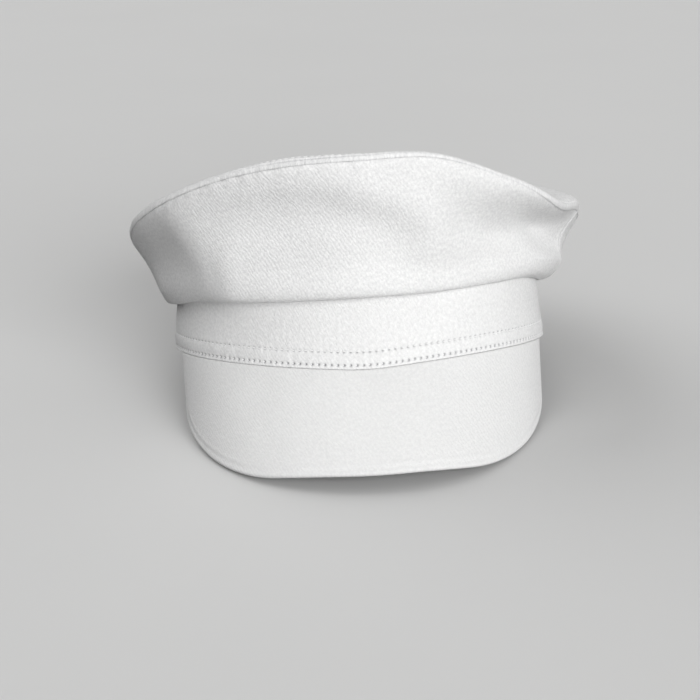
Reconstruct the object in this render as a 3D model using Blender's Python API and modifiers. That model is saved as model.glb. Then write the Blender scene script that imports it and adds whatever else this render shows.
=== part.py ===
"""A soft-crowned cloth cap with a plain band and a stiff peak, standing on z = 0.

Every piece is first laid out with the band's lower edge level at height 0, its front
towards -Y and +X to the right of someone who faces it. stand_up then tips the pieces back
onto the two things that touch a table: the peak's edge and the back of the band.
Turns are angles round the cap's axis, 0 at the front and 90 degrees at +X.
"""

import bpy
import numpy as np
from mathutils import Matrix

MM = 0.001

# The band, measured round its lower edge.
BAND_HALF_WIDTH = 95.5 * MM
BAND_HALF_DEPTH = 91 * MM
BAND_HEIGHT = 36 * MM
BAND_WALL = 3 * MM
BAND_DRAW_IN = 3.5 * MM
BAND_EDGE_WAVE = 2 * MM

# The crown: its cloth, the fold that hangs over the band, and the turn into the top. Its side
# seams sit a little round towards -X, so only the one at +X shows from the front.
CROWN_WALL = 1.6 * MM
CROWN_RISE = 62 * MM
CROWN_FLARE = 34 * MM
FOLD_BORE = 1.2 * MM
FOLD_HANG = 7.5 * MM
TOP_ROUND = 7 * MM
TOP_CENTRE_RISE = 55 * MM
TOP_CENTRE_BACK = 9 * MM
DENT_DEPTH = 6 * MM
SIDE_SEAM_TURN = np.radians(84)
SEAM_SWING = np.radians(5)

# The peak, and its tab inside the band.
PEAK_TURN = np.radians(71)
PEAK_LENGTH = 52.5 * MM
PEAK_EXTRA_LENGTH = 10 * MM
PEAK_WALL = 3 * MM
PEAK_SLOPE = np.radians(33)
PEAK_CORNER_WIDTH = 42.5 * MM
PEAK_CORNER_LENGTH = 30 * MM
PEAK_DRAW_IN = 3.5 * MM
PEAK_SWING = -0.3 * MM
PEAK_SET_BACK = 0.5 * MM
PEAK_LEVELLING = 0.5  # how much of the band edge's wave has faded at the free edge
TAB_HEIGHT = 8 * MM

# What sewn edges leave between two pieces.
SEAM_GAP = 0.4 * MM

# The crown's shape round the cap. flare and the three bulges are shares of CROWN_FLARE, rise of
# CROWN_RISE, round of TOP_ROUND, bore of FOLD_BORE and hang of FOLD_HANG. edge is how far the
# band's lower edge waves up or down, as a share of BAND_EDGE_WAVE.
CROWN_COLUMNS = ("turn", "flare", "rise", "round", "bore", "hang", "low", "mid", "high", "edge")
CROWN_ROWS = (
    (-180, 0.98, 0.70, 0.90, 1.40, 0.90, 0.04, 0.06, 0.04, 0.00),
    (-135, 0.84, 0.60, 0.90, 1.40, 1.05, 0.03, 0.04, 0.03, 0.20),
    (-105, 0.68, 0.46, 0.95, 1.30, 1.30, 0.00, 0.02, 0.04, 0.70),
    (-90, 0.58, 0.42, 0.95, 1.20, 1.25, 0.00, 0.01, 0.05, 0.75),
    (-75, 0.54, 0.55, 0.77, 1.10, 1.10, 0.03, 0.00, 0.05, 0.80),
    (-55, 0.49, 0.72, 0.60, 1.00, 0.62, 0.03, 0.01, 0.05, 0.60),
    (-35, 0.49, 0.87, 0.47, 1.00, 0.51, 0.03, 0.02, 0.06, 0.10),
    (-18, 0.52, 0.97, 0.67, 1.00, 0.42, 0.03, 0.02, 0.06, -0.50),
    (0, 0.50, 0.98, 0.53, 1.00, 0.33, 0.04, 0.02, 0.06, -1.10),
    (18, 0.47, 0.95, 0.28, 1.00, 0.29, 0.04, 0.00, 0.06, -0.25),
    (40, 0.51, 0.75, 0.33, 1.10, 0.13, 0.04, -0.01, 0.06, 0.35),
    (62, 0.54, 0.54, 0.72, 1.50, 0.17, 0.04, -0.01, 0.06, 0.20),
    (78, 0.56, 0.54, 1.05, 1.70, 0.66, 0.03, 0.00, 0.05, -0.20),
    (90, 0.62, 0.45, 1.15, 1.80, 0.95, 0.02, 0.02, 0.05, -0.50),
    (105, 0.70, 0.51, 1.05, 1.70, 1.20, 0.02, 0.03, 0.06, -0.40),
    (135, 0.86, 0.62, 0.90, 1.50, 0.95, 0.04, 0.04, 0.04, 0.00),
)

# Soft dents of the crown's side, and swellings where the depth is below 0. up is a share of the
# side's height and depth of DENT_DEPTH; the spreads are in degrees and in shares of the height,
# and lean moves a dent along the turn as it goes up.
DENT_COLUMNS = ("turn", "up", "depth", "turn_spread", "up_spread", "lean")
DENT_ROWS = (
    (-71, 0.42, 0.28, 11, 0.39, -7),
    (-44, 0.51, -0.90, 12, 0.59, -12),
    (-22, 0.54, 0.28, 13, 0.19, -10),
    (-7, -0.03, -0.97, 40, 0.15, -5),
    (-3, 0.58, 0.37, 17, 0.13, -14),
    (7, 0.63, -0.60, 12, 0.20, -33),
    (9, 0.23, 0.33, 10, 0.32, 7),
    (18, 0.47, -0.50, 7, 0.29, -8),
    (22, 0.11, 0.38, 14, 0.12, 1),
    (43, 0.48, 0.98, 16, 0.24, 3),
    (46, 0.19, 0.50, 19, 0.14, 5),
    (54, 0.76, 1.40, 11, 0.13, -19),
    (58, 0.54, 1.17, 13, 0.22, -41),
    (75, 0.16, -0.40, 18, 0.24, 0),
)

SIDE_SHARES = (0.0, 0.12, 0.26, 0.40, 0.54, 0.68, 0.82, 0.95, 1.0)
TOP_ROUND_SHARES = (0.05, 0.20, 0.42, 0.70, 1.0)
TOP_RING_SHARES = (0.84, 0.64, 0.42, 0.20)


def column(rows, names, name):
    """One named column of a table, as an array."""
    return np.array([row[names.index(name)] for row in rows], float)


def smooth(knots, values, where):
    """Values read from a smooth curve through the knots."""
    slopes = np.gradient(values, knots)
    index = np.clip(np.searchsorted(knots, where, side="right") - 1, 0, len(knots) - 2)
    span = knots[index + 1] - knots[index]
    t = (where - knots[index]) / span
    return (
        (2 * t**3 - 3 * t**2 + 1) * values[index]
        + (t**3 - 2 * t**2 + t) * span * slopes[index]
        + (3 * t**2 - 2 * t**3) * values[index + 1]
        + (t**3 - t**2) * span * slopes[index + 1]
    )


def crown(name, turn):
    """A column of the crown's table at the given turns, closed smoothly round the cap."""
    knots = np.radians(column(CROWN_ROWS, CROWN_COLUMNS, "turn"))
    values = column(CROWN_ROWS, CROWN_COLUMNS, name)
    lap = 2 * np.pi
    knots = np.concatenate([knots - lap, knots, knots + lap])
    return smooth(knots, np.tile(values, 3), (turn + np.pi) % lap - np.pi)


def band_reach(turn, up, inset=0.0):
    """How far the band's outside lies from the cap's axis, less an inset."""
    drawn = BAND_DRAW_IN * up / BAND_HEIGHT + inset
    wide = BAND_HALF_WIDTH - drawn
    deep = BAND_HALF_DEPTH - drawn
    return wide * deep / np.hypot(deep * np.sin(turn), wide * np.cos(turn))


def band_edge(turn):
    """Height of the band's lower edge."""
    return BAND_EDGE_WAVE * crown("edge", turn)


def around(turn, reach, up):
    """Points at the given turns, distances from the axis and heights."""
    return np.stack(np.broadcast_arrays(reach * np.sin(turn), -reach * np.cos(turn), up), -1)


def dents(turn, share):
    """How far the crown's side is pushed in. Its upper seam holds the cloth out."""
    total = np.zeros(np.broadcast(turn, share).shape)
    for row in DENT_ROWS:
        dent = dict(zip(DENT_COLUMNS, row))
        above = share - dent["up"]
        middle = np.radians(dent["turn"] + dent["lean"] * above)
        away = (turn - middle + np.pi) % (2 * np.pi) - np.pi
        across = away / np.radians(dent["turn_spread"])
        total += DENT_DEPTH * dent["depth"] * np.exp(-(across**2) - (above / dent["up_spread"]) ** 2)
    return total * (1 - share**6)


def crown_foot(turn):
    """The roll of cloth over the band: its centre's reach and height, and its radius."""
    radius = CROWN_WALL + FOLD_BORE * crown("bore", turn)
    up = BAND_HEIGHT - FOLD_HANG * crown("hang", turn)
    return band_reach(turn, up) + SEAM_GAP + radius, up, radius


def crown_corner(turn):
    """The corner where the crown's side would meet its top if it weren't rounded."""
    reach = band_reach(turn, 0) + CROWN_FLARE * crown("flare", turn)
    return reach, BAND_HEIGHT + CROWN_RISE * crown("rise", turn)


def crown_side(turn, share):
    """Reach and height on the crown's side, from its foot at share 0 to its corner at 1."""
    centre, foot_up, radius = crown_foot(turn)
    foot_reach = centre + radius
    corner_reach, corner_up = crown_corner(turn)
    bulge = np.zeros(np.broadcast(turn, share).shape)
    for name, at in (("low", 0.25), ("mid", 0.50), ("high", 0.75)):
        weight = 1.0
        for other in (0.0, 0.25, 0.50, 0.75, 1.0):
            if other != at:
                weight = weight * (share - other) / (at - other)
        bulge += CROWN_FLARE * crown(name, turn) * weight
    reach = foot_reach + (corner_reach - foot_reach) * share + bulge - dents(turn, share)
    return reach, foot_up + (corner_up - foot_up) * share


def top_point(turn, share):
    """A point of the top, from its centre at share 0 to the unrounded corner at 1."""
    corner = around(turn, *crown_corner(turn))
    centre = np.array([0, TOP_CENTRE_BACK, BAND_HEIGHT + TOP_CENTRE_RISE])
    share = np.broadcast_to(share, turn.shape)[..., None]
    along = np.concatenate([share, share, share**2], -1)
    return centre + (corner - centre) * along


def top_seam(turn):
    """The side's share at the seam, the share that leaves the sewn gap below it, the top's
    share where the rounded turn ends, and that turn's length."""
    corner_reach, corner_up = crown_corner(turn)
    foot_reach, foot_up, _ = crown_foot(turn)
    side_length = np.hypot(corner_reach - foot_reach, corner_up - foot_up)
    run = TOP_ROUND * crown("round", turn)
    seam_share = 1 - run / side_length
    return seam_share, seam_share - SEAM_GAP / side_length, 1 - run / corner_reach, run


def side_rows(turn):
    """Rows of the crown's outside, from its lip on the band up to the top seam."""
    centre, centre_up, radius = crown_foot(turn)
    lip_up = BAND_HEIGHT + SEAM_GAP
    rim = band_reach(turn, BAND_HEIGHT)
    rows = [
        around(turn, rim - BAND_WALL + SEAM_GAP, lip_up),
        around(turn, rim + SEAM_GAP, lip_up),
    ]
    for angle in np.radians((180, 220, 260, 300, 335)):
        pushed = dents(turn, 0 * turn) * (1 + np.cos(angle)) / 2
        reach = centre + radius * np.cos(angle) - pushed
        rows.append(around(turn, reach, centre_up + radius * np.sin(angle)))
    end_share = top_seam(turn)[1]
    for share in SIDE_SHARES:
        rows.append(around(turn, *crown_side(turn, share * end_share)))
    return np.array(rows)


def top_rows(turn):
    """Rows of the crown's top, from its seam over the rounded turn and inwards."""
    side_share, _, top_share, run = top_seam(turn)
    start = around(turn, *crown_side(turn, side_share))
    onward = start - around(turn, *crown_side(turn, SIDE_SHARES[-2] * side_share))
    corner = start + onward * (run / np.linalg.norm(onward, axis=-1))[:, None]
    end = top_point(turn, top_share)
    rows = [start]
    for share in TOP_ROUND_SHARES:
        rows.append((1 - share) ** 2 * start + 2 * share * (1 - share) * corner + share**2 * end)
    for share in TOP_RING_SHARES:
        rows.append(top_point(turn, share * top_share))
    return np.array(rows)


def peak_rows():
    """Rows of the peak's upper face, from the top of its tab to its free edge."""
    end = np.sin(PEAK_TURN)
    corner = PEAK_CORNER_WIDTH / BAND_HALF_WIDTH
    middle = np.linspace(-(end - corner), end - corner, 13)
    steps = np.sin(np.linspace(0, np.pi / 2, 9)[1:])
    wide = np.concatenate([-(end - corner) - corner * steps[::-1], middle, end - corner + corner * steps])
    round_off = np.clip((np.abs(wide) - (end - corner)) / corner, 0, 1)
    length = PEAK_LENGTH + PEAK_EXTRA_LENGTH * (wide / end) ** 2
    length -= PEAK_CORNER_LENGTH * (1 - np.sqrt(1 - round_off**2))
    turn = np.arctan2(wide * BAND_HALF_WIDTH, np.sqrt(1 - wide**2) * BAND_HALF_DEPTH)
    under = band_edge(turn) - SEAM_GAP
    rows = []
    for share in (1.0, 0.5, 0.0):
        up = under + (TAB_HEIGHT - under) * share
        rows.append(around(turn, band_reach(turn, up, BAND_WALL + SEAM_GAP), up))
    top = around(turn, band_reach(turn, 0, PEAK_SET_BACK), under)
    rows.append(top)
    forward = np.array([0, -np.sin(PEAK_SLOPE), -np.cos(PEAK_SLOPE)])
    wave = np.stack([0 * wide, 0 * wide, band_edge(turn)], -1)
    for share in np.linspace(0, 1, 8)[1:]:
        run = (length * share)[:, None]
        sideways = (PEAK_SWING - wide * PEAK_DRAW_IN) / PEAK_LENGTH
        inwards = np.stack([sideways, 0 * wide, 0 * wide], -1)
        rows.append(top + run * (forward + inwards) - PEAK_LEVELLING * share * wave)
    return np.array(rows)


def sheet(name, rows, closed=False, hub=None):
    """An open surface through rows of points, facing out when they run up the cap's side."""
    count = rows.shape[1]
    vertices = rows.reshape(-1, 3).tolist()
    across = count if closed else count - 1
    faces = []
    for row in range(len(rows) - 1):
        for step in range(across):
            near = row * count + step
            far = row * count + (step + 1) % count
            faces.append((near, far, far + count, near + count))
    if hub is not None:
        vertices.append(list(hub))
        last = (len(rows) - 1) * count
        for step in range(across):
            faces.append((last + step, last + (step + 1) % count, len(vertices) - 1))
    mesh = bpy.data.meshes.new(name)
    mesh.from_pydata(vertices, [], faces)
    mesh.shade_smooth()
    return bpy.data.objects.new(name, mesh)


def thicken(thing, wall):
    """Gives an open surface its wall, inwards."""
    solid = thing.modifiers.new("wall", "SOLIDIFY")
    solid.thickness = wall
    solid.offset = -1
    solid.use_even_offset = True
    solid.use_quality_normals = True


def panel_turns():
    """The turns of the front and the back side panel's columns, from seam to seam."""
    right = SIDE_SEAM_TURN - SEAM_SWING
    left = -SIDE_SEAM_TURN - SEAM_SWING
    front = np.linspace(left, right, 45)
    back = np.linspace(right, left + 2 * np.pi, 47)
    return front, back


def full_turn():
    """The turns of a piece that closes round the cap, in line with both side panels."""
    front, back = panel_turns()
    return np.concatenate([front[:-1], back[:-1]])


def make_band():
    turn = full_turn()
    edge = band_edge(turn)
    rows = []
    for share in (0.0, 0.5, 1.0):
        up = edge + (BAND_HEIGHT - edge) * share
        rows.append(around(turn, band_reach(turn, up), up))
    thing = sheet("band", np.array(rows), closed=True)
    thicken(thing, BAND_WALL)
    return thing


def make_crown_side(name, turn):
    turn = turn.copy()
    turn[0] += 0.5 * SEAM_GAP / BAND_HALF_WIDTH
    turn[-1] -= 0.5 * SEAM_GAP / BAND_HALF_WIDTH
    thing = sheet(name, side_rows(turn))
    thicken(thing, CROWN_WALL)
    return thing


def make_crown_top():
    centre = (0, TOP_CENTRE_BACK, BAND_HEIGHT + TOP_CENTRE_RISE)
    thing = sheet("crown_top", top_rows(full_turn()), closed=True, hub=centre)
    thicken(thing, CROWN_WALL)
    return thing


def make_peak():
    rows = peak_rows()
    thing = sheet("peak", rows[::-1])
    thicken(thing, PEAK_WALL)
    return thing


def cloth_material(name, colour, roughness):
    """A matt white cloth."""
    material = bpy.data.materials.new(name)
    material.use_nodes = True
    shader = material.node_tree.nodes["Principled BSDF"]
    shader.inputs["Base Color"].default_value = (*colour, 1)
    shader.inputs["Roughness"].default_value = roughness
    shader.inputs["Metallic"].default_value = 0
    return material


def evaluated_points(pieces):
    """Every corner of the pieces with their walls on, as an array."""
    view = bpy.context.evaluated_depsgraph_get()
    points = []
    for piece in pieces:
        thick = piece.evaluated_get(view)
        mesh = thick.to_mesh()
        points += [tuple(vertex.co) for vertex in mesh.vertices]
        thick.to_mesh_clear()
    return np.array(points)


def stand_up(pieces):
    """Tips the cap back until the peak's edge and the back of the band share one level, and
    centres it over the origin."""
    points = evaluated_points(pieces)
    peak = points[(points[:, 2] < 0) & (points[:, 1] < 0)]
    tip = np.max(np.arctan2(-peak[:, 2], BAND_HALF_DEPTH - peak[:, 1]))
    turned = Matrix.Rotation(-tip, 3, "X")
    points = points @ np.array(turned.transposed())
    low = points.min(axis=0)
    high = points.max(axis=0)
    stand = bpy.data.objects.new("stand", None)
    stand.rotation_euler.x = -tip
    stand.location = (-(low[0] + high[0]) / 2, -(low[1] + high[1]) / 2, -low[2])
    for piece in pieces:
        piece.parent = stand
    return stand


def build():
    for thing in list(bpy.data.objects):
        bpy.data.objects.remove(thing)
    cap = bpy.data.collections.new("sailor_cap")
    bpy.context.scene.collection.children.link(cap)
    front, back = panel_turns()
    pieces = {
        "band": make_band(),
        "crown_front": make_crown_side("crown_front", front),
        "crown_back": make_crown_side("crown_back", back),
        "crown_top": make_crown_top(),
        "peak": make_peak(),
    }
    for name, piece in pieces.items():
        piece.data.materials.append(cloth_material(name, (0.84, 0.84, 0.83), 0.9))
        cap.objects.link(piece)
    bpy.context.view_layer.update()
    cap.objects.link(stand_up(list(pieces.values())))


build()
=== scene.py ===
import math

import bpy
import numpy as np
from mathutils import Matrix, Vector
from mathutils.kdtree import KDTree


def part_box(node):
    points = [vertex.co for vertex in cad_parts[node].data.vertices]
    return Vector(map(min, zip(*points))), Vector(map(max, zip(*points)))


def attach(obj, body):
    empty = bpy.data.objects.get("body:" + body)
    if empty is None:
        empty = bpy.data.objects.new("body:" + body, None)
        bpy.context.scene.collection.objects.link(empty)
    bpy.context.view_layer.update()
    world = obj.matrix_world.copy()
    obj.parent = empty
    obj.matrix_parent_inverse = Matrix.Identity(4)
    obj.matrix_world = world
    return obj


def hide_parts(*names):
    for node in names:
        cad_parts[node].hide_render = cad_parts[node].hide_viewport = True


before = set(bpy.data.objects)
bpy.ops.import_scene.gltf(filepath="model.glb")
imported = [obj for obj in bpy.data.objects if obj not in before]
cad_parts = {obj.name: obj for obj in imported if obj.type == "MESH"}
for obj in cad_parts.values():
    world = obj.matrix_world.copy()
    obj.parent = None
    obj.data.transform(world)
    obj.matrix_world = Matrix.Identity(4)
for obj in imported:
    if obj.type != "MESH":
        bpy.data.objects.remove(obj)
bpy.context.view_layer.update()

mm = 0.001

# Every shape below is worked out in millimetres with the band's lower edge level at height 0,
# the front towards -Y. Turns are angles round the cap, 0 at the front and 90 at +X.
bandSizes = {
    "halfWidth": 95.5,
    "halfDepth": 91.0,
    "height": 36.0,
    "wall": 3.0,
    "drawIn": 3.5,  # how much narrower the band is at its top
    "edgeWave": 2.0,
    "edgeRoll": 0.55,  # radius of the turned-under lower edge
    "rowHeights": (1.9, 8.0),  # the two rows of stitches above the edge
    "stitchPitch": 3.0,
    "columnsPerStitch": 8,
    "rowSink": 0.2,
    "rowWidth": 0.9,
    "holeDepth": 0.6,
    "holeShares": (1.25, 0.8),  # the lower row's holes are the deeper ones
    "holeWidth": 0.55,
    "holeHeight": 0.5,
    "hemPuff": 0.28,
    "hemPuffAt": 5.65,
    "hemPuffWidth": 2.5,
    "pucker": 0.07,
    "puckerLength": 6.0,
    "puckerAt": 5.0,
    "puckerWidth": 5.5,
    "sway": 0.2,
    "swayLength": 46.0,
}

crownSizes = {
    "wall": 1.6,
    "rise": 62.0,
    "flare": 34.0,
    "bore": 1.2,
    "hang": 7.5,
    "topRound": 7.0,
    "centreRise": 55.0,
    "centreBack": 9.0,
    "seamTurn": 84.0,
    "seamSwing": 5.0,  # the side seams sit a little round towards -X
    "gap": 0.4,
    "seamReach": 112.0,  # how far the side seams are from the middle
    "columns": 320,
    "sideRows": 58,
    "foldRows": 18,
    "easedRows": 12,  # each side of where the fold runs into the side
    "easings": 60,
    "easeLeast": 0.12,
    "easeTurn": 76.0,
    "easeSpread": 24.0,
    "pucker": 0.2,
    "puckerLength": 7.0,
    "puckerWidth": 4.5,
    "sway": 0.14,
    "swayLength": 34.0,
}

# The crown round the cap, as shares of the sizes above. edge is the wave of the band's lower edge.
crownColumns = ("turn", "flare", "rise", "round", "bore", "hang", "low", "mid", "high", "edge")
crownTable = (
    (-180, 0.98, 0.70, 0.90, 1.40, 0.90, 0.04, 0.06, 0.04, 0.00),
    (-135, 0.84, 0.60, 0.90, 1.40, 1.05, 0.03, 0.04, 0.03, 0.20),
    (-105, 0.68, 0.46, 0.95, 1.30, 1.30, 0.00, 0.02, 0.04, 0.70),
    (-90, 0.58, 0.42, 0.95, 1.20, 1.25, 0.00, 0.01, 0.05, 0.75),
    (-75, 0.54, 0.55, 0.77, 1.10, 1.10, 0.03, 0.00, 0.05, 0.80),
    (-55, 0.49, 0.72, 0.60, 1.00, 0.62, 0.03, 0.01, 0.05, 0.60),
    (-35, 0.49, 0.87, 0.47, 1.00, 0.51, 0.03, 0.02, 0.06, 0.10),
    (-18, 0.52, 0.97, 0.67, 1.00, 0.42, 0.03, 0.02, 0.06, -0.50),
    (0, 0.50, 0.98, 0.53, 1.00, 0.33, 0.04, 0.02, 0.06, -1.10),
    (18, 0.47, 0.95, 0.28, 1.00, 0.29, 0.04, 0.00, 0.06, -0.25),
    (40, 0.51, 0.75, 0.33, 1.10, 0.13, 0.04, -0.01, 0.06, 0.35),
    (62, 0.54, 0.54, 0.72, 1.50, 0.17, 0.04, -0.01, 0.06, 0.20),
    (78, 0.56, 0.54, 1.05, 1.70, 0.66, 0.03, 0.00, 0.05, -0.20),
    (90, 0.62, 0.45, 1.15, 1.80, 0.95, 0.02, 0.02, 0.05, -0.50),
    (105, 0.70, 0.51, 1.05, 1.70, 1.20, 0.02, 0.03, 0.06, -0.40),
    (135, 0.86, 0.62, 0.90, 1.50, 0.95, 0.04, 0.04, 0.04, 0.00),
)

# Dents of the crown's side, and swellings where the push is below 0. Each has its turn, its height
# as a share of the side's, the push in mm, its spread in turn and in height, and its lean, which
# moves it along the turn as it goes up.
crownForms = (
    (-71, 0.42, 1.7, 11, 0.39, -7),  # the hollow of the left ear
    (-44, 0.51, -5.4, 12, 0.59, -12),  # the face turns to that ear here
    (-40, 0.53, 1.5, 7, 0.38, -4),
    (-37, 0.28, -1.0, 4, 0.23, 2),  # a soft upright fold
    (-22, 0.54, 1.7, 13, 0.19, -10),
    (-19, 0.70, 0.7, 20, 0.08, -3),
    (-7, -0.03, -5.8, 40, 0.15, -5),  # the full lower edge
    (-3, 0.58, 2.2, 17, 0.13, -14),  # the long valley below the top
    (7, 0.63, -3.6, 12, 0.20, -33),
    (9, 0.23, 2.0, 10, 0.32, 7),
    (18, 0.47, -3.0, 7, 0.29, -8),  # the ridge right of the middle
    (22, 0.11, 2.3, 14, 0.12, 1),
    (43, 0.48, 5.9, 16, 0.24, 3),  # the large dent at the right
    (46, 0.19, 3.0, 19, 0.14, 5),
    (58, 0.72, 7.8, 13, 0.16, -10),
    (66, 0.50, 5.8, 13, 0.28, -14),
    (75, 0.16, -2.4, 18, 0.24, 0),  # the full foot of the right ear
)

rest = {"tipBack": 14.5143}


def column(rows, names, name):
    return np.array([row[names.index(name)] for row in rows], float)


def smooth(knots, values, where):
    slopes = np.gradient(values, knots)
    index = np.clip(np.searchsorted(knots, where, side="right") - 1, 0, len(knots) - 2)
    span = knots[index + 1] - knots[index]
    t = (where - knots[index]) / span
    near = (2 * t**3 - 3 * t**2 + 1) * values[index] + (t**3 - 2 * t**2 + t) * span * slopes[index]
    far = (3 * t**2 - 2 * t**3) * values[index + 1] + (t**3 - t**2) * span * slopes[index + 1]
    return near + far


def crownAt(name, turn):
    knots = np.radians(column(crownTable, crownColumns, "turn"))
    values = column(crownTable, crownColumns, name)
    lap = 2 * np.pi
    knots = np.concatenate([knots - lap, knots, knots + lap])
    return smooth(knots, np.tile(values, 3), (turn + np.pi) % lap - np.pi)


def bandReach(turn, up, inset=0.0):
    drawn = bandSizes["drawIn"] * up / bandSizes["height"] + inset
    wide = bandSizes["halfWidth"] - drawn
    deep = bandSizes["halfDepth"] - drawn
    return wide * deep / np.hypot(deep * np.sin(turn), wide * np.cos(turn))


def bandEdge(turn):
    return bandSizes["edgeWave"] * crownAt("edge", turn)


def around(turn, reach, up):
    return np.stack(np.broadcast_arrays(reach * np.sin(turn), -reach * np.cos(turn), up), -1)


def turnAway(turn, at):
    return (np.degrees(turn) - at + 180) % 360 - 180


def formPush(turn, share):
    total = np.zeros(np.broadcast(turn, share).shape)
    for at, up, push, turnSpread, upSpread, lean in crownForms:
        away = turnAway(turn, at) - lean * (share - up)
        total += push * np.exp(-((away / turnSpread) ** 2) - ((share - up) / upSpread) ** 2)
    return total * (1 - share**6)  # the top seam holds the cloth out


def crownFoot(turn):
    radius = crownSizes["wall"] + crownSizes["bore"] * crownAt("bore", turn)
    up = bandSizes["height"] - crownSizes["hang"] * crownAt("hang", turn)
    return bandReach(turn, up) + crownSizes["gap"] + radius, up, radius


def crownCorner(turn):
    reach = bandReach(turn, 0) + crownSizes["flare"] * crownAt("flare", turn)
    return reach, bandSizes["height"] + crownSizes["rise"] * crownAt("rise", turn)


def crownSide(turn, share):
    centre, footUp, radius = crownFoot(turn)
    footReach = centre + radius
    cornerReach, cornerUp = crownCorner(turn)
    bulge = np.zeros(np.broadcast(turn, share).shape)
    for name, at in (("low", 0.25), ("mid", 0.50), ("high", 0.75)):
        weight = 1.0
        for other in (0.0, 0.25, 0.50, 0.75, 1.0):
            if other != at:
                weight = weight * (share - other) / (at - other)
        bulge += crownSizes["flare"] * crownAt(name, turn) * weight
    reach = footReach + (cornerReach - footReach) * share + bulge - formPush(turn, share)
    return reach, footUp + (cornerUp - footUp) * share


def topPoint(turn, share):
    corner = around(turn, *crownCorner(turn))
    centre = np.array([0, crownSizes["centreBack"], bandSizes["height"] + crownSizes["centreRise"]])
    share = np.broadcast_to(share, turn.shape)[..., None]
    return centre + (corner - centre) * np.concatenate([share, share, share**2], -1)


# where the round turn at the top starts and ends, as shares of the side and of the top
def topSeam(turn):
    cornerReach, cornerUp = crownCorner(turn)
    footReach, footUp, _ = crownFoot(turn)
    sideLength = np.hypot(cornerReach - footReach, cornerUp - footUp)
    run = crownSizes["topRound"] * crownAt("round", turn)
    return 1 - run / sideLength, 1 - run / cornerReach, run


# soft uneven waves about -1 to 1 high, the same each run
def ripple(u, v, seed, wavelength, count=14):
    rng = np.random.default_rng(seed)
    total = np.zeros(np.broadcast(u, v).shape)
    for _ in range(count):
        angle = rng.uniform(0, np.pi)
        phase = rng.uniform(0, 2 * np.pi)
        length = wavelength * rng.uniform(0.6, 1.7)
        total += np.cos(2 * np.pi * (u * np.cos(angle) + v * np.sin(angle)) / length + phase)
    return total / math.sqrt(count)


def gridNormals(grid, closed):
    if closed:
        along = np.roll(grid, -1, 1) - np.roll(grid, 1, 1)
    else:
        along = np.gradient(grid, axis=1)
    up = np.gradient(grid, axis=0)
    normals = np.cross(along, up)
    return normals / (np.linalg.norm(normals, axis=-1, keepdims=True) + 1e-12)


def pathLength(points):
    steps = np.linalg.norm(np.diff(points, axis=0), axis=-1)
    return np.concatenate([np.zeros((1,) + steps.shape[1:]), np.cumsum(steps, axis=0)])


# The cap leans back on the peak's edge and the back of the band, where the frame's band lies.
tipTurn = np.array(Matrix.Rotation(math.radians(-rest["tipBack"]), 3, "X"))


def findPlace():
    turn = np.linspace(0, 2 * np.pi, 361)
    edge = bandEdge(turn)
    rows = [around(turn, bandReach(turn, up), up) for up in (edge, 0 * turn + bandSizes["height"])]
    points = np.concatenate(rows) @ tipTurn.T
    low, high = (np.array(corner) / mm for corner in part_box("band"))
    return (low - points.min(axis=0) + high - points.max(axis=0)) / 2


capPlace = findPlace()
print("cap place in mm", capPlace.round(2))


def standUp(points):
    return (np.asarray(points) @ tipTurn.T + capPlace) * mm


def addPiece(name, vertices, faces, material, node=None, uvs=None, crease=None):
    mesh = bpy.data.meshes.new(name)
    mesh.from_pydata(standUp(vertices).tolist(), [], faces)
    mesh.shade_smooth()
    if uvs is not None:
        layer = mesh.uv_layers.new(name="cloth")
        layer.data.foreach_set("uv", np.asarray(uvs, float).ravel())
    # the crease mark: how much shade is painted into the cloth's colour at each point
    if crease is not None:
        marks = mesh.attributes.new("crease", "FLOAT", "POINT")
        marks.data.foreach_set("value", np.asarray(crease, float).ravel())
    mesh.materials.append(material)
    piece = bpy.data.objects.new(name, mesh)
    bpy.context.collection.objects.link(piece)
    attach(piece, "root")
    if node:
        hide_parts(node)
    return piece


def gridFaces(rows, columns, closed=False):
    across = columns if closed else columns - 1
    r, c = np.meshgrid(np.arange(rows - 1), np.arange(across), indexing="ij")
    near = r * columns + c
    far = r * columns + (c + 1) % columns
    return np.stack([near, far, far + columns, near + columns], -1).reshape(-1, 4)


# corner by corner cloth coordinates; a closed grid has one more column of u and v
def gridUvs(u, v):
    rows, columns = u.shape
    r, c = np.meshgrid(np.arange(rows - 1), np.arange(columns - 1), indexing="ij")
    corners = [(r, c), (r, c + 1), (r + 1, c + 1), (r + 1, c)]
    return np.stack([np.stack([u[i], v[i]], -1) for i in corners], -2).reshape(-1, 2)


def thicken(piece, wall):
    solid = piece.modifiers.new("wall", "SOLIDIFY")
    solid.thickness = wall * mm
    solid.offset = -1
    solid.use_quality_normals = True


def newNode(tree, kind, at=(0, 0), **settings):
    node = tree.nodes.new(kind)
    node.location = at
    for key, value in settings.items():
        setattr(node, key, value)
    return node


def maths(tree, operation, first, second=None, at=(0, 0)):
    node = newNode(tree, "ShaderNodeMath", at, operation=operation)
    for socket, value in zip(node.inputs, (first, second)):
        if value is None:
            continue
        if isinstance(value, (int, float)):
            socket.default_value = value
        else:
            tree.links.new(value, socket)
    return node.outputs[0]


def mapRange(tree, source, given, made, at, **settings):
    node = newNode(tree, "ShaderNodeMapRange", at, **settings)
    tree.links.new(source, node.inputs["Value"])
    for label, value in zip(("From Min", "From Max", "To Min", "To Max"), (*given, *made)):
        node.inputs[label].default_value = value
    return node.outputs[0]


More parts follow.
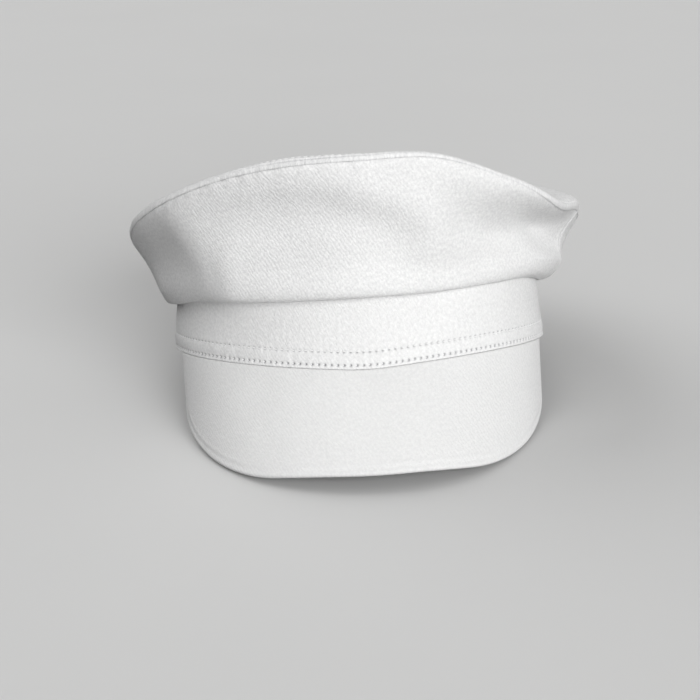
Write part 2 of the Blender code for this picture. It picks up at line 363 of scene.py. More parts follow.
def newGroup(name, inputs, outputs):
    tree = bpy.data.node_groups.new(name, "ShaderNodeTree")
    for label, value in inputs:
        kind = "NodeSocketVector" if value is None else "NodeSocketFloat"
        socket = tree.interface.new_socket(label, in_out="INPUT", socket_type=kind)
        if value is not None:
            socket.default_value = value
    for label in outputs:
        tree.interface.new_socket(label, in_out="OUTPUT", socket_type="NodeSocketFloat")
    return tree, newNode(tree, "NodeGroupInput", (-900, 0)), newNode(tree, "NodeGroupOutput", (900, 0))


weaveSizes = {
    "wobbleScale": 260,
    "slubScale": 620,
    "drift": 24.0,  # how far the wobble shifts the ribs
    "slantAcross": 0.82,
    "slantAlong": 0.57,
    "warp": 2.6,  # threads to a rib's pitch
    "weft": 2.4,
    "threadHeight": 0.22,
    "ribHeight": 0.13,
}


# twill: fine crossing threads under slanted ribs; cloth coordinates are in metres
def makeWeaveGroup():
    tree, given, made = newGroup(
        "twillWeave",
        [("Cloth", None), ("Rib in mm", 1.6), ("Unevenness", 0.5)],
        ["Height", "Slub"],
    )
    w = weaveSizes
    wobble = newNode(tree, "ShaderNodeTexNoise", (-700, -300))
    wobble.inputs["Scale"].default_value = w["wobbleScale"]
    wobble.inputs["Detail"].default_value = 3
    tree.links.new(given.outputs["Cloth"], wobble.inputs["Vector"])
    parts = newNode(tree, "ShaderNodeSeparateXYZ", (-700, 0))
    tree.links.new(given.outputs["Cloth"], parts.inputs[0])
    turns = maths(tree, "DIVIDE", 2 * math.pi * 1000, given.outputs["Rib in mm"], (-700, 200))
    drift = maths(tree, "MULTIPLY", wobble.outputs[0], given.outputs["Unevenness"], (-500, -300))
    drift = maths(tree, "MULTIPLY", drift, w["drift"], (-400, -300))
    across = maths(tree, "MULTIPLY", parts.outputs["X"], turns, (-500, 200))
    along = maths(tree, "MULTIPLY", parts.outputs["Y"], turns, (-500, 0))
    slant = maths(tree, "MULTIPLY_ADD", across, w["slantAcross"], (-300, 200))
    tree.links.new(maths(tree, "MULTIPLY", along, w["slantAlong"], (-300, 0)), slant.node.inputs[2])
    slant = maths(tree, "ADD", slant, drift, (-150, 100))
    rib = maths(tree, "SINE", slant, None, (0, 100))
    warp = maths(tree, "SINE", maths(tree, "MULTIPLY", across, w["warp"], (-150, 300)), None, (0, 300))
    weft = maths(tree, "SINE", maths(tree, "MULTIPLY", along, w["weft"], (-150, -100)), None, (0, -100))
    height = maths(tree, "MULTIPLY", warp, weft, (150, 200))
    height = maths(tree, "MULTIPLY", height, w["threadHeight"], (300, 200))
    ribs = maths(tree, "MULTIPLY", rib, w["ribHeight"], (150, 50))
    height = maths(tree, "ADD", height, ribs, (450, 100))
    height = maths(tree, "ADD", height, 0.5, (600, 100))  # about the middle of 0 to 1
    tree.links.new(height, made.inputs["Height"])
    slub = newNode(tree, "ShaderNodeTexNoise", (0, -400))
    slub.inputs["Scale"].default_value = w["slubScale"]
    slub.inputs["Detail"].default_value = 2
    slub.inputs["Roughness"].default_value = 0.75
    tree.links.new(given.outputs["Cloth"], slub.inputs["Vector"])
    tree.links.new(slub.outputs[0], made.inputs["Slub"])
    return tree


# uneven rumples and a mottle, both from the place on the cap
def makeRumpleGroup():
    tree, given, made = newGroup("softRumple", [("Place", None), ("Size in mm", 9.0)], ["Height", "Mottle"])
    scale = maths(tree, "DIVIDE", 1000.0, given.outputs["Size in mm"], (-700, 200))
    for output, detail, at in (("Height", 3, 200), ("Mottle", 5, -200)):
        noise = newNode(tree, "ShaderNodeTexNoise", (-300, at))
        noise.inputs["Detail"].default_value = detail
        noise.inputs["Roughness"].default_value = 0.55
        tree.links.new(given.outputs["Place"], noise.inputs["Vector"])
        tree.links.new(scale, noise.inputs["Scale"])
        tree.links.new(noise.outputs[0], made.inputs[output])
    return tree


weaveGroup = makeWeaveGroup()
rumpleGroup = makeRumpleGroup()


def makeCloth(name, values):
    material = bpy.data.materials.new(name)
    material.use_nodes = True
    tree = material.node_tree
    shader = tree.nodes["Principled BSDF"]
    shader.inputs["Sheen Weight"].default_value = values["sheen"]
    shader.inputs["Sheen Roughness"].default_value = 0.45
    shader.inputs["Specular IOR Level"].default_value = values["specular"]
    shader.inputs["Metallic"].default_value = 0
    coords = newNode(tree, "ShaderNodeTexCoord", (-1400, 0))
    weave = newNode(tree, "ShaderNodeGroup", (-1100, 200), node_tree=weaveGroup)
    weave.inputs["Rib in mm"].default_value = values["rib"]
    weave.inputs["Unevenness"].default_value = values["uneven"]
    tree.links.new(coords.outputs["UV"], weave.inputs["Cloth"])
    rumple = newNode(tree, "ShaderNodeGroup", (-1100, -200), node_tree=rumpleGroup)
    rumple.inputs["Size in mm"].default_value = values["rumpleSize"]
    tree.links.new(coords.outputs["Object"], rumple.inputs["Place"])
    crease = newNode(tree, "ShaderNodeAttribute", (-1100, -500), attribute_name="crease")
    # colour: the cloth's white, a little greyer at random in its mottle and slubs, with painted shade in
    # the weave's lows and in the creases, seams and needle holes that the crease mark covers
    mottle = mapRange(tree, rumple.outputs["Mottle"], (0.3, 0.7), (0, values["mottle"]), (-800, 300))
    slub = mapRange(tree, weave.outputs["Slub"], (0.35, 0.65), (0, values["slub"]), (-800, 0))
    # painted shade in the weave's lows, between the threads
    low = maths(tree, "SUBTRACT", 1.0, weave.outputs["Height"], (-800, -200))
    low = maths(tree, "MULTIPLY", low, values["threadShade"], (-650, -200))
    # painted shade: the crease mark greys the colour in creases, seam dips and needle holes
    paintedShade = maths(tree, "MULTIPLY", crease.outputs["Fac"], values["creaseShade"], (-650, -400))
    total = maths(tree, "ADD", mottle, slub, (-500, 200))
    total = maths(tree, "ADD", total, low, (-400, 0))
    total = maths(tree, "ADD", total, paintedShade, (-300, -100))
    total.node.use_clamp = True
    colour = newNode(tree, "ShaderNodeMix", (-150, 200), data_type="RGBA")
    tree.links.new(total, colour.inputs["Factor"])
    colour.inputs["A"].default_value = (*values["colour"], 1)
    colour.inputs["B"].default_value = (*values["mottleAndShadeColour"], 1)
    tree.links.new(colour.outputs["Result"], shader.inputs["Base Color"])
    rough = mapRange(tree, weave.outputs["Height"], (0, 1), values["roughness"], (-150, -50))
    tree.links.new(rough, shader.inputs["Roughness"])
    soft = newNode(tree, "ShaderNodeBump", (-150, -300))
    soft.inputs["Strength"].default_value = values["rumpleStrength"]
    soft.inputs["Distance"].default_value = values["rumpleDepth"] * mm
    tree.links.new(rumple.outputs["Height"], soft.inputs["Height"])
    fine = newNode(tree, "ShaderNodeBump", (50, -300))
    fine.inputs["Strength"].default_value = values["weaveStrength"]
    fine.inputs["Distance"].default_value = values["weaveDepth"] * mm
    grain = maths(tree, "ADD", weave.outputs["Height"], weave.outputs["Slub"], (-350, -450))
    tree.links.new(grain, fine.inputs["Height"])
    tree.links.new(soft.outputs[0], fine.inputs["Normal"])
    tree.links.new(fine.outputs[0], shader.inputs["Normal"])
    return material


crownCloth = makeCloth("crownCloth", {
    "colour": (0.92, 0.92, 0.915), "mottleAndShadeColour": (0.40, 0.40, 0.41), "rib": 1.6, "uneven": 0.5,
    "rumpleSize": 14, "mottle": 0.04, "slub": 0.26, "threadShade": 0.16, "creaseShade": 0.8,
    "rumpleStrength": 0.5, "rumpleDepth": 1.0, "weaveStrength": 0.8, "weaveDepth": 0.3,
    "sheen": 0.12, "specular": 0.25, "roughness": (0.97, 0.84),
})
bandCloth = makeCloth("bandCloth", {
    "colour": (0.92, 0.92, 0.915), "mottleAndShadeColour": (0.32, 0.32, 0.33), "rib": 1.5, "uneven": 0.5,
    "rumpleSize": 22, "mottle": 0.04, "slub": 0.18, "threadShade": 0.12, "creaseShade": 1.0,
    "rumpleStrength": 0.25, "rumpleDepth": 0.8, "weaveStrength": 0.8, "weaveDepth": 0.3,
    "sheen": 0.10, "specular": 0.25, "roughness": (0.97, 0.84),
})
peakCloth = makeCloth("peakCloth", {
    "colour": (0.84, 0.84, 0.835), "mottleAndShadeColour": (0.40, 0.40, 0.41), "rib": 1.6, "uneven": 0.5,
    "rumpleSize": 20, "mottle": 0.05, "slub": 0.14, "threadShade": 0.08, "creaseShade": 0.7,
    "rumpleStrength": 0.15, "rumpleDepth": 0.8, "weaveStrength": 0.8, "weaveDepth": 0.3,
    "sheen": 0.08, "specular": 0.25, "roughness": (0.97, 0.84),
})
threadCloth = makeCloth("sewingThread", {
    "colour": (0.88, 0.88, 0.875), "mottleAndShadeColour": (0.5, 0.5, 0.51), "rib": 0.6, "uneven": 0.2,
    "rumpleSize": 5, "mottle": 0.04, "slub": 0.04, "threadShade": 0.10, "creaseShade": 0.5,
    "rumpleStrength": 0.0, "rumpleDepth": 0.2, "weaveStrength": 0.3, "weaveDepth": 0.05,
    "sheen": 0.05, "specular": 0.4, "roughness": (0.97, 0.84),
})
print("materials made")


# Stitches lie from hole to hole and dive in at both ends.
threadSizes = {
    "halfWidth": 0.27,
    "halfThick": 0.2,
    "stand": 0.06,
    "sink": 0.5,
    "taper": 0.35,
    "cover": 0.74,  # how much of the pitch a stitch takes up
    "rings": 7,
    "sides": 7,
    "sideStep": 0.35,
}


def alongLoop(points, marks, at):
    return np.stack([np.interp(at, marks, points[:, k]) for k in range(3)], -1)


# threads from hole to hole along a closed path of points
def stitchRow(points, normals, holes):
    t = threadSizes
    points = np.vstack([points, points[:1]])
    normals = np.vstack([normals, normals[:1]])
    lengths = pathLength(points)
    marks = np.arange(len(points))
    pitch = lengths[-1] / holes
    share = np.linspace(-1, 1, t["rings"])
    angles = np.linspace(0, 2 * np.pi, t["sides"], endpoint=False)
    depth = t["stand"] - t["sink"] * np.abs(share) ** 4
    slim = 1 - t["taper"] * np.abs(share) ** 3
    vertices = []
    faces = []
    uvs = []
    ringFaces = gridFaces(t["rings"], t["sides"], closed=True)
    sideUvs = np.arange(t["sides"] + 1) * t["sideStep"] * mm
    ringUvs = gridUvs(*np.meshgrid(sideUvs, share * pitch * 0.5 * mm))
    for hole in range(holes):
        at = np.interp((hole + 0.5 + 0.5 * t["cover"] * share) * pitch % lengths[-1], lengths, marks)
        centre = alongLoop(points, marks, at)
        outward = alongLoop(normals, marks, at)
        outward /= np.linalg.norm(outward, axis=1, keepdims=True)
        along = centre[-1] - centre[0]
        side = np.cross(outward, along / np.linalg.norm(along))
        centre = centre + outward * depth[:, None]
        wide = side[:, None] * (t["halfWidth"] * np.cos(angles))[None, :, None]
        thick = outward[:, None] * (t["halfThick"] * np.sin(angles))[None, :, None]
        start = hole * len(angles) * t["rings"]
        vertices.append((centre[:, None] + (wide + thick) * slim[:, None, None]).reshape(-1, 3))
        faces += (ringFaces + start).tolist()
        uvs.append(ringUvs)
    return np.concatenate(vertices), faces, np.concatenate(uvs)


def addStitches(name, rows):
    vertices = []
    faces = []
    uvs = []
    count = 0
    for some, theirs, places in rows:
        faces += [[i + count for i in face] for face in theirs]
        count += len(some)
        vertices.append(some)
        uvs.append(places)
    addPiece(name, np.concatenate(vertices), faces, threadCloth, uvs=np.concatenate(uvs))


# turns evenly spaced along a loop round the cap, and the loop's length
def evenTurns(reachAt, columns):
    turn = np.linspace(-np.pi, np.pi, 2881)
    lengths = pathLength(around(turn, reachAt(turn), 0 * turn))
    steps = np.linspace(0, lengths[-1], columns, endpoint=False)
    return np.interp(steps, lengths, turn), lengths[-1]


def bell(x, width):
    return np.exp(-((x / width) ** 2))


# how far the band stands out at a height above its edge, and how much shade is painted into its needle
# holes
def bandRelief(along, loop, holes, above):
    b = bandSizes
    pitch = loop / holes
    toHole = ((along / pitch + 0.5) % 1 - 0.5) * pitch
    out = b["hemPuff"] * bell(above - b["hemPuffAt"], b["hemPuffWidth"])
    puckers = ripple(along, above * 0.5, 5, b["puckerLength"]) * b["pucker"]
    out = out + puckers * bell(above - b["puckerAt"], b["puckerWidth"])
    # painted shade in the needle holes
    dark = np.zeros(out.shape)
    for row, share in zip(b["rowHeights"], b["holeShares"]):
        pit = share * bell(toHole, b["holeWidth"]) * bell(above - row, b["holeHeight"])
        out = out - b["rowSink"] * bell(above - row, b["rowWidth"]) - b["holeDepth"] * pit
        dark = dark + pit
    return out, dark


def bandHeightAt(edge, height):
    return edge + height * (bandSizes["height"] - edge) / bandSizes["height"]


def makeBand():
    circle = np.linspace(-np.pi, np.pi, 721)
    holes = round(pathLength(around(circle, bandReach(circle, 0), 0))[-1] / bandSizes["stitchPitch"])
    turn, loop = evenTurns(lambda t: bandReach(t, 0), holes * bandSizes["columnsPerStitch"])
    along = np.linspace(0, loop, len(turn), endpoint=False)
    edge = bandEdge(turn)
    roll = bandSizes["edgeRoll"]
    wall = bandSizes["wall"]
    top = bandSizes["height"]
    rows = []
    # painted shade in the needle holes, row by row, for the crease mark
    darks = []
    for angle in np.linspace(np.pi, 0, 8)[:-1]:  # round under the edge, from inside to outside
        reach = bandReach(turn, edge, roll * (1 - np.cos(angle)))
        rows.append(around(turn, reach, edge + roll * (1 - np.sin(angle))))
        darks.append(0 * turn)
    hemHeights = np.linspace(roll, 10.5, 27)
    plainHeights = np.append(np.linspace(11.5, top - 1.2, 9), top - 0.3)
    for height in np.concatenate([hemHeights, plainHeights]):  # up the outside
        up = bandHeightAt(edge, height)
        out, dark = bandRelief(along, loop, holes, up - edge)
        sway = ripple(along * 0.6, up, 11, bandSizes["swayLength"]) * bandSizes["sway"]
        sway = sway * np.clip((height - 8) / 12, 0, 1)
        rows.append(around(turn, bandReach(turn, up) + out + sway, up))
        darks.append(dark)
    for inset, down in ((0.5, 0.0), (wall - 0.5, 0.0), (wall, 0.5)):  # over the top
        rows.append(around(turn, bandReach(turn, top, inset), 0 * turn + top - down))
        darks.append(0 * turn)
    innerHeights = np.concatenate([np.linspace(30, 10, 6), np.linspace(8.6, roll, 8)])
    for height in innerHeights:
        up = bandHeightAt(edge, height)
        out, dark = bandRelief(along, loop, holes, up - edge)
        rows.append(around(turn, bandReach(turn, up, wall) - 0.5 * out, up))
        darks.append(0.8 * dark)
    grid = np.array(rows)
    count, columns = grid.shape[:2]
    faces = np.concatenate([gridFaces(count, columns, closed=True), gridFaces(2, columns, closed=True)])
    last = faces[-columns:]
    faces[-columns:] = np.where(last >= columns, last - columns, last + (count - 1) * columns)
    v = pathLength(np.concatenate([grid, grid[:1]]))
    v = np.concatenate([v, v[:, :1]], 1) * mm
    u = np.tile(np.append(along, loop) * mm, (len(v), 1))
    addPiece(
        "bandCover", grid.reshape(-1, 3), faces.tolist(), bandCloth, "band",
        gridUvs(u, v), np.concatenate(darks),
    )
    rows = []
    for row in bandSizes["rowHeights"]:
        up = bandHeightAt(edge, row)
        out = bandRelief(along + 0.5 * loop / holes, loop, holes, up - edge)[0]
        for inset, push, facing in ((0.0, out, 1), (wall, -0.5 * out, -1)):
            points = around(turn, bandReach(turn, up, inset) + push, up)
            rows.append(stitchRow(points, around(turn, facing, 0 * turn), holes))
    addStitches("bandStitches", rows)
    return holes


print("band made,", makeBand(), "stitches a row")

# At a seam the cloth dips in and lies a little full beside it, over its own seam allowance.
seamSizes = {
    "dip": 0.16,
    "dipWidth": 0.45,
    "puff": 0.22,
    "puffAt": 2.6,
    "puffWidth": 1.8,
    # painted shade along the top seam's dip and beside the side seams
    "dark": 0.25,
    "sideDark": 0.5,
    "sideDarkWidth": 0.5,
}
seamHidden = ((62, 30, 0.95), (-72, 22, 0.5))  # turn, spread and share rolled out of sight
puckerSizes = {"least": 0.45, "more": 0.75, "turn": -12.0, "spread": 30.0}


def seamRelief(distance, puff=1.0, dip=1.0):
    s = seamSizes
    full = s["puff"] * puff * bell(distance - s["puffAt"], s["puffWidth"])
    return full - s["dip"] * dip * bell(distance, s["dipWidth"])


# how much of the top seam shows: it is rolled out of sight at the ears
def seamShow(turn):
    show = 1
    for at, spread, share in seamHidden:
        show = show - share * bell(turnAway(turn, at), spread)
    return show


# how lively the puckers of the top seam are round the cap: most at the left of the front
def puckerShare(turn):
    p = puckerSizes
    return p["least"] + p["more"] * bell(turnAway(turn, p["turn"]), p["spread"])


def makeCrownSide(name, node, firstTurn, lastTurn, seed):
    c = crownSizes
    close = np.array([0.0, 0.25, 0.55, 0.9, 1.4]) / c["seamReach"]  # finer beside the side seams
    first = np.radians(firstTurn)
    last = np.radians(lastTurn)
    inner = np.linspace(first + close[-1] * 1.8, last - close[-1] * 1.8, c["columns"])
    turn = np.concatenate([first + close, inner, last - close[::-1]])
    centre, centreUp, radius = crownFoot(turn)
    lipUp = bandSizes["height"] + c["gap"]
    rim = bandReach(turn, bandSizes["height"])
    lipReaches = (rim - bandSizes["wall"] + c["gap"], rim - 1.2, rim + c["gap"])
    rows = [around(turn, reach, lipUp) for reach in lipReaches]  # on top of the band
    for share in (0.35, 0.7):
        reach = (rim + c["gap"]) * (1 - share) + (centre - radius) * share
        rows.append(around(turn, reach, lipUp * (1 - share) + centreUp * share))
    footPush = formPush(turn, 0 * turn)
    for angle in np.radians(np.linspace(180, 350, c["foldRows"])):  # the fold over the band
        reach = centre + radius * np.cos(angle) - footPush * (1 + np.cos(angle)) / 2
        rows.append(around(turn, reach, centreUp + radius * np.sin(angle)))
    cornerReach, cornerUp = crownCorner(turn)
    sideLength = np.hypot(cornerReach - centre - radius, cornerUp - centreUp)
    endShare = topSeam(turn)[0]
    nearTop = 1 - np.array([2.2, 1.4, 0.9, 0.5, 0.2, 0.0]) / 68
    shares = np.concatenate([np.linspace(0, 1, c["sideRows"])[:-2], nearTop])
    beforeSide = np.zeros(len(rows))
    low = len(rows) - c["easedRows"]
    high = len(rows) + c["easedRows"]
    for share in shares:
        rows.append(around(turn, *crownSide(turn, share * endShare)))
    grid = np.array(rows)
    # no crease where the fold runs into the side, most of all at the right ear
    ease = c["easeLeast"] + (1 - c["easeLeast"]) * bell(turnAway(turn, c["easeTurn"]), c["easeSpread"])
    for _ in range(c["easings"]):
        middle = (grid[low - 1:high - 1] + grid[low + 1:high + 1]) / 2
        grid[low:high] += ease[:, None] * (middle - grid[low:high])
    u = np.tile(c["seamReach"] * (turn - turn[0]), (len(grid), 1))
    v = pathLength(grid)
    toTop = np.concatenate([beforeSide + 1, 1 - shares])[:, None] * sideLength * endShare
    toSide = np.minimum(u, u[:, -1:] - u)
    onSide = np.concatenate([beforeSide, np.clip(shares / 0.12, 0, 1)])[:, None]
    show = onSide * seamShow(turn)
    out = seamRelief(toTop, 0.8) * show + seamRelief(toSide, 1.6, 2.0) * (0.35 + 0.65 * onSide)
    puckers = ripple(u, v * 0.12, seed, c["puckerLength"]) * c["pucker"] * puckerShare(turn)
    out = out + puckers * bell(toTop, c["puckerWidth"]) * onSide
    sway = ripple(u, v * 0.7, seed + 1, c["swayLength"]) * c["sway"]
    out = out + sway * onSide * np.clip(toTop / 12, 0, 1)
    grid = grid + gridNormals(grid, False) * out[..., None]
    # painted shade in the top seam's dip and beside the side seams
    dark = seamSizes["dark"] * bell(toTop, seamSizes["dipWidth"]) * show
    dark = dark + seamSizes["sideDark"] * bell(toSide, seamSizes["sideDarkWidth"])
    piece = addPiece(
        name, grid.reshape(-1, 3), gridFaces(*grid.shape[:2]).tolist(), crownCloth, node,
        gridUvs(u * mm, v * mm), np.clip(dark, 0, 1),
    )
    thicken(piece, c["wall"] - 0.4)


leftSeam = -crownSizes["seamTurn"] - crownSizes["seamSwing"]
rightSeam = crownSizes["seamTurn"] - crownSizes["seamSwing"]
makeCrownSide("crownFrontCover", "crown_front", leftSeam, rightSeam, 21)
makeCrownSide("crownBackCover", "crown_back", rightSeam, leftSeam + 360, 31)
print("crown sides made")

topSizes = {
    "columns": 738,
    "pitch": 3.0,
    "stripWidth": 4.4,  # from the seam to its row of stitches
    "strip": 0.3,  # how far the strip stands up over its seam allowance
    "stripEdge": 0.3,
    "rowSink": 0.2,
    "rowWidth": 0.6,
    "hole": 0.5,
    "pucker": 0.05,
    "fold": 0.25,  # a second, finer fold along the front of the strip
    "foldAt": 2.3,
    "foldWidth": 0.4,
    "foldTurn": -10.0,
    "foldSpread": 17.0,
    "slant": 0.1,  # slanted creases between the seam and that fold
    "slantPitch": 2.2,
    "slantAt": 1.3,
    "slantWidth": 0.9,
    # painted shade in the needle holes, in the fold and in the slanted creases' lows
    "holeDark": 0.8,
    "foldDark": 0.55,
    "foldDarkWidth": 0.35,
    "slantDark": 0.3,
    "sway": 0.9,
    "swayLength": 52.0,
    "smallSway": 0.25,
    "smallSwayLength": 24.0,
    "swayFrom": 22.0,
}


def makeCrownTop():
    t = topSizes
    turn = np.linspace(-np.pi, np.pi, t["columns"], endpoint=False)
    sideShare, topShare, run = topSeam(turn)
    start = around(turn, *crownSide(turn, sideShare))
    onward = start - around(turn, *crownSide(turn, sideShare - 0.02))
    corner = start + onward * (run / np.linalg.norm(onward, axis=-1))[:, None]
    end = topPoint(turn, topShare)
    rows = []
    for share in np.concatenate([[0, 0.03, 0.07, 0.12], np.linspace(0.18, 1, 16)]):  # the rounded turn
        rows.append((1 - share) ** 2 * start + 2 * share * (1 - share) * corner + share**2 * end)
    for share in np.concatenate([np.linspace(0.99, 0.86, 16), np.linspace(0.84, 0.02, 30)]):
        rows.append(topPoint(turn, share * topShare))
    grid = np.array(rows)
    normals = gridNormals(grid, True)
    lengths = pathLength(np.vstack([start, start[:1]]))
    loop = lengths[-1]
    along = lengths[:-1]
    inward = pathLength(grid)
    holes = round(loop / t["pitch"])
    toHole = ((along * holes / loop + 0.5) % 1 - 0.5) * loop / holes
    fromRow = inward - t["stripWidth"]
    lively = t["pucker"] * puckerShare(turn)
    show = seamShow(turn)
    out = seamRelief(inward, 0.2) * show + t["strip"] / (1 + np.exp(fromRow / t["stripEdge"]))
    out = out - t["rowSink"] * bell(fromRow, t["rowWidth"])
    out = out + lively * ripple(along, inward * 0.3, 41, 5.5) * bell(inward - 2.4, 2.4)
    fold = bell(turnAway(turn, t["foldTurn"]), t["foldSpread"])
    out = out - t["fold"] * fold * bell(inward - t["foldAt"], t["foldWidth"])
    slant = np.sin(2 * np.pi * (along + 1.5 * inward) / t["slantPitch"])
    slanted = fold * bell(inward - t["slantAt"], t["slantWidth"])
    out = out + t["slant"] * slant * slanted
    out = out + lively * ripple(along, inward * 0.12, 43, 9.0) * bell(fromRow, 6.0)
    x = grid[..., 0]
    y = grid[..., 1]
    sway = t["sway"] * ripple(x, y, 44, t["swayLength"])
    sway = sway + t["smallSway"] * ripple(x, y, 45, t["smallSwayLength"])
    grid = grid + normals * (out + sway * np.clip(inward / t["swayFrom"], 0, 1))[..., None]
    # painted shade in the seam's dip, the needle holes, the fold and the slanted creases' lows
    dark = seamSizes["dark"] * bell(inward, seamSizes["dipWidth"]) * show
    dark = dark + t["holeDark"] * bell(toHole, t["hole"]) * bell(fromRow, t["hole"])
    dark = dark + t["foldDark"] * fold * bell(inward - t["foldAt"], t["foldDarkWidth"])
    dark = dark + t["slantDark"] * (0.5 - 0.5 * slant) * slanted
    dark = np.append(dark.clip(0, 1), 0)
    vertices = np.vstack([grid.reshape(-1, 3), grid[-1].mean(axis=0)])
    faces = gridFaces(*grid.shape[:2], closed=True).tolist()
    last = (len(grid) - 1) * len(turn)
    faces += [(last + c, last + (c + 1) % len(turn), len(vertices) - 1) for c in range(len(turn))]
    flat = np.concatenate([vertices[list(face), :2] for face in faces]) * mm
    piece = addPiece(
        "crownTopCover", vertices, faces, crownCloth, "crown_top", flat, dark,
    )
    thicken(piece, crownSizes["wall"] - 0.4)
    onRow = (np.argmin(np.abs(fromRow), axis=0), np.arange(len(turn)))
    addStitches("crownTopStitches", [stitchRow(grid[onRow], normals[onRow], holes)])
    return holes


print("crown top made,", makeCrownTop(), "stitches round it")

peakSizes = {
    "turn": 71.0,
    "length": 52.5,
    "extraLength": 10.0,  # at the sides
    "wall": 3.0,
    "slope": 33.0,
    "cornerWidth": 42.5,
    "cornerLength": 30.0,
    "drawIn": 3.5,
    "swing": -0.3,
    "levelling": 0.5,  # how much of the band edge's wave has faded at the free edge
    "setBack": 0.25,
    "underBand": 0.12,  # how close it lies under the band's edge
    "tabHeight": 8.0,
    "tabWall": 1.4,
    "columns": 150,
    "cornerColumns": 46,
    "rows": 64,
    "rimDip": 0.2,  # beside the rolled rim, outside the stiffener
    "rimDipAt": 2.9,
    "rimDipWidth": 1.1,
    "ridge": 0.16,  # the stiffener's edge showing through
    "ridgeAt": 4.7,
    "ridgeWidth": 0.8,
    "sway": 0.08,
    "swayLength": 40.0,
    "clothReach": 95.0,
    "weld": 0.02,
}


# from each point of a grid to the nearest of some points
def distanceTo(grid, points):
    tree = KDTree(len(points))
    for index, point in enumerate(points):
        tree.insert(point, index)
    tree.balance()
    return np.array([tree.find(point)[2] for point in grid.reshape(-1, 3)]).reshape(grid.shape[:2])


# rows of the peak's upper face: down its tab inside the band, out under the band, and down the slope
def peakRows():
    p = peakSizes
    end = np.sin(np.radians(p["turn"]))
    corner = p["cornerWidth"] / bandSizes["halfWidth"]
    middle = np.linspace(-(end - corner), end - corner, p["columns"])
    steps = np.sin(np.linspace(0, np.pi / 2, p["cornerColumns"])[1:])
    wide = np.concatenate([-(end - corner) - corner * steps[::-1], middle, end - corner + corner * steps])
    roundOff = np.clip((np.abs(wide) - (end - corner)) / corner, 0, 1)
    length = p["length"] + p["extraLength"] * (wide / end) ** 2
    length -= p["cornerLength"] * (1 - np.sqrt(1 - roundOff**2))
    turn = np.arctan2(wide * bandSizes["halfWidth"], np.sqrt(1 - wide**2) * bandSizes["halfDepth"])
    under = bandEdge(turn) - p["underBand"]
    inside = bandSizes["wall"] + crownSizes["gap"]
    rows = []
    for share in (1.0, 0.97, 0.93, 0.85, 0.6, 0.35, 0.15, 0.05, 0.0):
        up = under + (p["tabHeight"] - under) * share
        rows.append(around(turn, bandReach(turn, up, inside), up))
    for share in (0.06, 0.2, 0.5, 0.8, 0.94):
        inset = inside * (1 - share) + p["setBack"] * share
        rows.append(around(turn, bandReach(turn, 0, inset), under))
    tabRows = len(rows)
    top = around(turn, bandReach(turn, 0, p["setBack"]), under)
    slope = np.radians(p["slope"])
    sideways = (p["swing"] - wide * p["drawIn"]) / p["length"]
    onward = np.stack([sideways, 0 * wide - np.sin(slope), 0 * wide - np.cos(slope)], -1)
    nearRim = np.array([0.042, 0.03, 0.02, 0.012, 0.006, 0.002, 0.0])
    wave = p["levelling"] * np.stack([0 * wide, 0 * wide, bandEdge(turn)], -1)
    for share in np.concatenate([np.linspace(0, 1 - 0.058, p["rows"]), 1 - nearRim]):
        rows.append(top + share * length[:, None] * onward - share * wave)
    return np.array(rows), tabRows, turn


def makePeak():
    p = peakSizes
    grid, tabRows, turn = peakRows()
    rim = np.concatenate([grid[:, 0], grid[-1], grid[::-1, -1], grid[0, ::-1]])
    rimPoints = [rim[:-1] + (rim[1:] - rim[:-1]) * share for share in (0, 0.25, 0.5, 0.75)]
    toRim = distanceTo(grid, np.concatenate(rimPoints))
    onSlope = np.clip((np.arange(len(grid)) - tabRows) / 8, 0, 1)[:, None]
    half = (p["tabWall"] + (p["wall"] - p["tabWall"]) * onSlope) / 2
    rounded = np.sqrt(np.clip(half**2 - np.clip(half - toRim, 0, half) ** 2, 0, None))
    relief = p["ridge"] * bell(toRim - p["ridgeAt"], p["ridgeWidth"])
    relief = relief - p["rimDip"] * bell(toRim - p["rimDipAt"], p["rimDipWidth"])
    relief = relief * np.clip(toRim / 1.5, 0, 1)
    sway = ripple(grid[..., 0], grid[..., 2], 51, p["swayLength"]) * p["sway"]
    relief = relief + sway * np.clip(toRim / 10, 0, 1)
    relief = relief * onSlope
    normals = -gridNormals(grid, False)
    upper = grid + normals * (rounded - half + relief)[..., None]
    lower = grid - normals * (rounded + half + 0.5 * relief)[..., None]
    count, columns = grid.shape[:2]
    faces = gridFaces(count, columns)
    u = np.tile(turn * p["clothReach"] * mm, (count, 1))
    places = gridUvs(u, -pathLength(grid) * mm).reshape(-1, 4, 2)
    piece = addPiece(
        "peakCover", np.concatenate([upper.reshape(-1, 3), lower.reshape(-1, 3)]),
        faces[:, ::-1].tolist() + (faces + count * columns).tolist(), peakCloth, "peak",
        np.concatenate([places[:, ::-1], places]).reshape(-1, 2), np.zeros(2 * count * columns),
    )
    weld = piece.modifiers.new("rim", "WELD")
    weld.merge_threshold = p["weld"] * mm


makePeak()
print("peak made")

stageSizes = {
    "floor": 16.0,
    "floorColour": (0.71, 0.71, 0.705, 1),
    "floorMottle": (0.73, 0.73, 0.725, 1),
    "key": 3.9,  # strength of the broad key light
    "keyTurn": 20.0,  # round to the right of the front
    "keyRise": 12.0,
    "softness": 50.0,  # the angle a light fills
    "back": 0.95,  # a light from the left, behind and above
    "backTurn": -127.0,
    "backRise": 43.0,
    "fill": 0.32,  # the sky, which is black below these heights
    "horizon": (-0.06, 0.02),
}


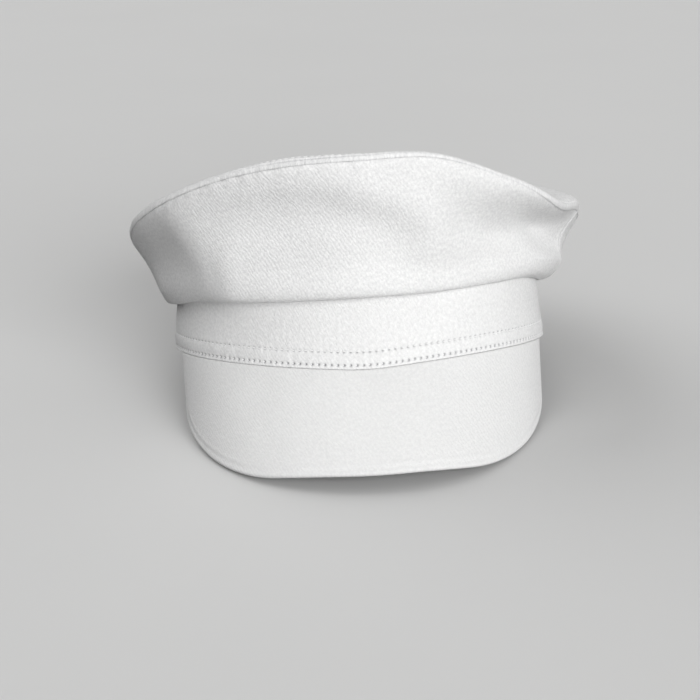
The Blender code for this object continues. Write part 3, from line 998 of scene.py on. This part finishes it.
def makeFloor():
    half = stageSizes["floor"] / 2
    mesh = bpy.data.meshes.new("floor")
    corners = [(-half, -half, 0), (half, -half, 0), (half, half, 0), (-half, half, 0)]
    mesh.from_pydata(corners, [], [(0, 1, 2, 3)])
    floor = bpy.data.objects.new("floor", mesh)
    material = bpy.data.materials.new("paleFloor")
    material.use_nodes = True
    tree = material.node_tree
    shader = tree.nodes["Principled BSDF"]
    shader.inputs["Roughness"].default_value = 0.9
    shader.inputs["Specular IOR Level"].default_value = 0.1
    coords = newNode(tree, "ShaderNodeTexCoord", (-700, 0))
    noise = newNode(tree, "ShaderNodeTexNoise", (-500, 0))
    noise.inputs["Scale"].default_value = 6
    tree.links.new(coords.outputs["Object"], noise.inputs["Vector"])
    tint = newNode(tree, "ShaderNodeMix", (-250, 0), data_type="RGBA")
    tint.inputs["A"].default_value = stageSizes["floorColour"]
    tint.inputs["B"].default_value = stageSizes["floorMottle"]
    tree.links.new(noise.outputs[0], tint.inputs["Factor"])
    tree.links.new(tint.outputs["Result"], shader.inputs["Base Color"])
    mesh.materials.append(material)
    bpy.context.collection.objects.link(floor)
    floor.visible_diffuse = False  # it throws no light up on the cap


def addLight(name, strength, turn, rise):
    light = bpy.data.lights.new(name, "SUN")
    light.energy = strength
    light.angle = math.radians(stageSizes["softness"])
    lamp = bpy.data.objects.new(name, light)
    lamp.rotation_euler = (math.radians(90 - rise), 0, math.radians(turn))
    bpy.context.collection.objects.link(lamp)


def makeLights():
    s = stageSizes
    addLight("key", s["key"], s["keyTurn"], s["keyRise"])
    addLight("back", s["back"], s["backTurn"], s["backRise"])
    world = bpy.data.worlds.new("studio")
    world.use_nodes = True
    tree = world.node_tree
    back = tree.nodes["Background"]
    back.inputs["Strength"].default_value = s["fill"]
    coords = newNode(tree, "ShaderNodeTexCoord", (-800, 0))
    parts = newNode(tree, "ShaderNodeSeparateXYZ", (-600, 0))
    tree.links.new(coords.outputs["Generated"], parts.inputs[0])
    above = mapRange(
        tree, parts.outputs["Z"], s["horizon"], (0, 1), (-400, 0), interpolation_type="SMOOTHSTEP",
    )
    tree.links.new(above, back.inputs["Color"])
    bpy.context.scene.world = world
    bpy.context.scene.view_settings.view_transform = "Standard"


# where the photograph was taken from, in the cap's own directions; angles in degrees
cameraSizes = {
    "away": 740.0,
    "side": -2.0,
    "up": 100.0,
    "drop": 8.144,
    "roll": 2.52,
    "swing": 0.3828,
    "lens": 73.44,
    "sensor": 36.0,
    "nearest": 0.02,
}


def makeCamera():
    c = cameraSizes
    side, drop, roll, swing = (math.radians(c[k]) for k in ("side", "drop", "roll", "swing"))
    back = np.array([math.sin(side), -math.cos(side), 0])
    at = c["away"] * back + (0, 0, c["up"])
    forward = -math.cos(drop) * back - math.sin(drop) * np.array([0, 0, 1])
    right = np.array([math.cos(side), math.sin(side), 0])
    up = np.cross(right, forward)
    swung = math.cos(swing) * right + math.sin(swing) * forward
    ahead = -math.sin(swing) * right + math.cos(swing) * forward
    axisX = math.cos(roll) * swung - math.sin(roll) * up
    axisY = math.sin(roll) * swung + math.cos(roll) * up
    turned = Matrix((tipTurn @ np.stack([axisX, axisY, -ahead], 1)).tolist()).to_4x4()
    turned.translation = Vector(standUp(at[None])[0])
    data = bpy.data.cameras.new("camera")
    data.lens = c["lens"]
    data.sensor_width = c["sensor"]
    data.clip_start = c["nearest"]
    camera = bpy.data.objects.new("camera", data)
    camera.matrix_world = turned
    bpy.context.collection.objects.link(camera)
    bpy.context.scene.camera = camera
    print("camera at", [round(v, 4) for v in turned.translation])


makeFloor()
makeLights()
makeCamera()
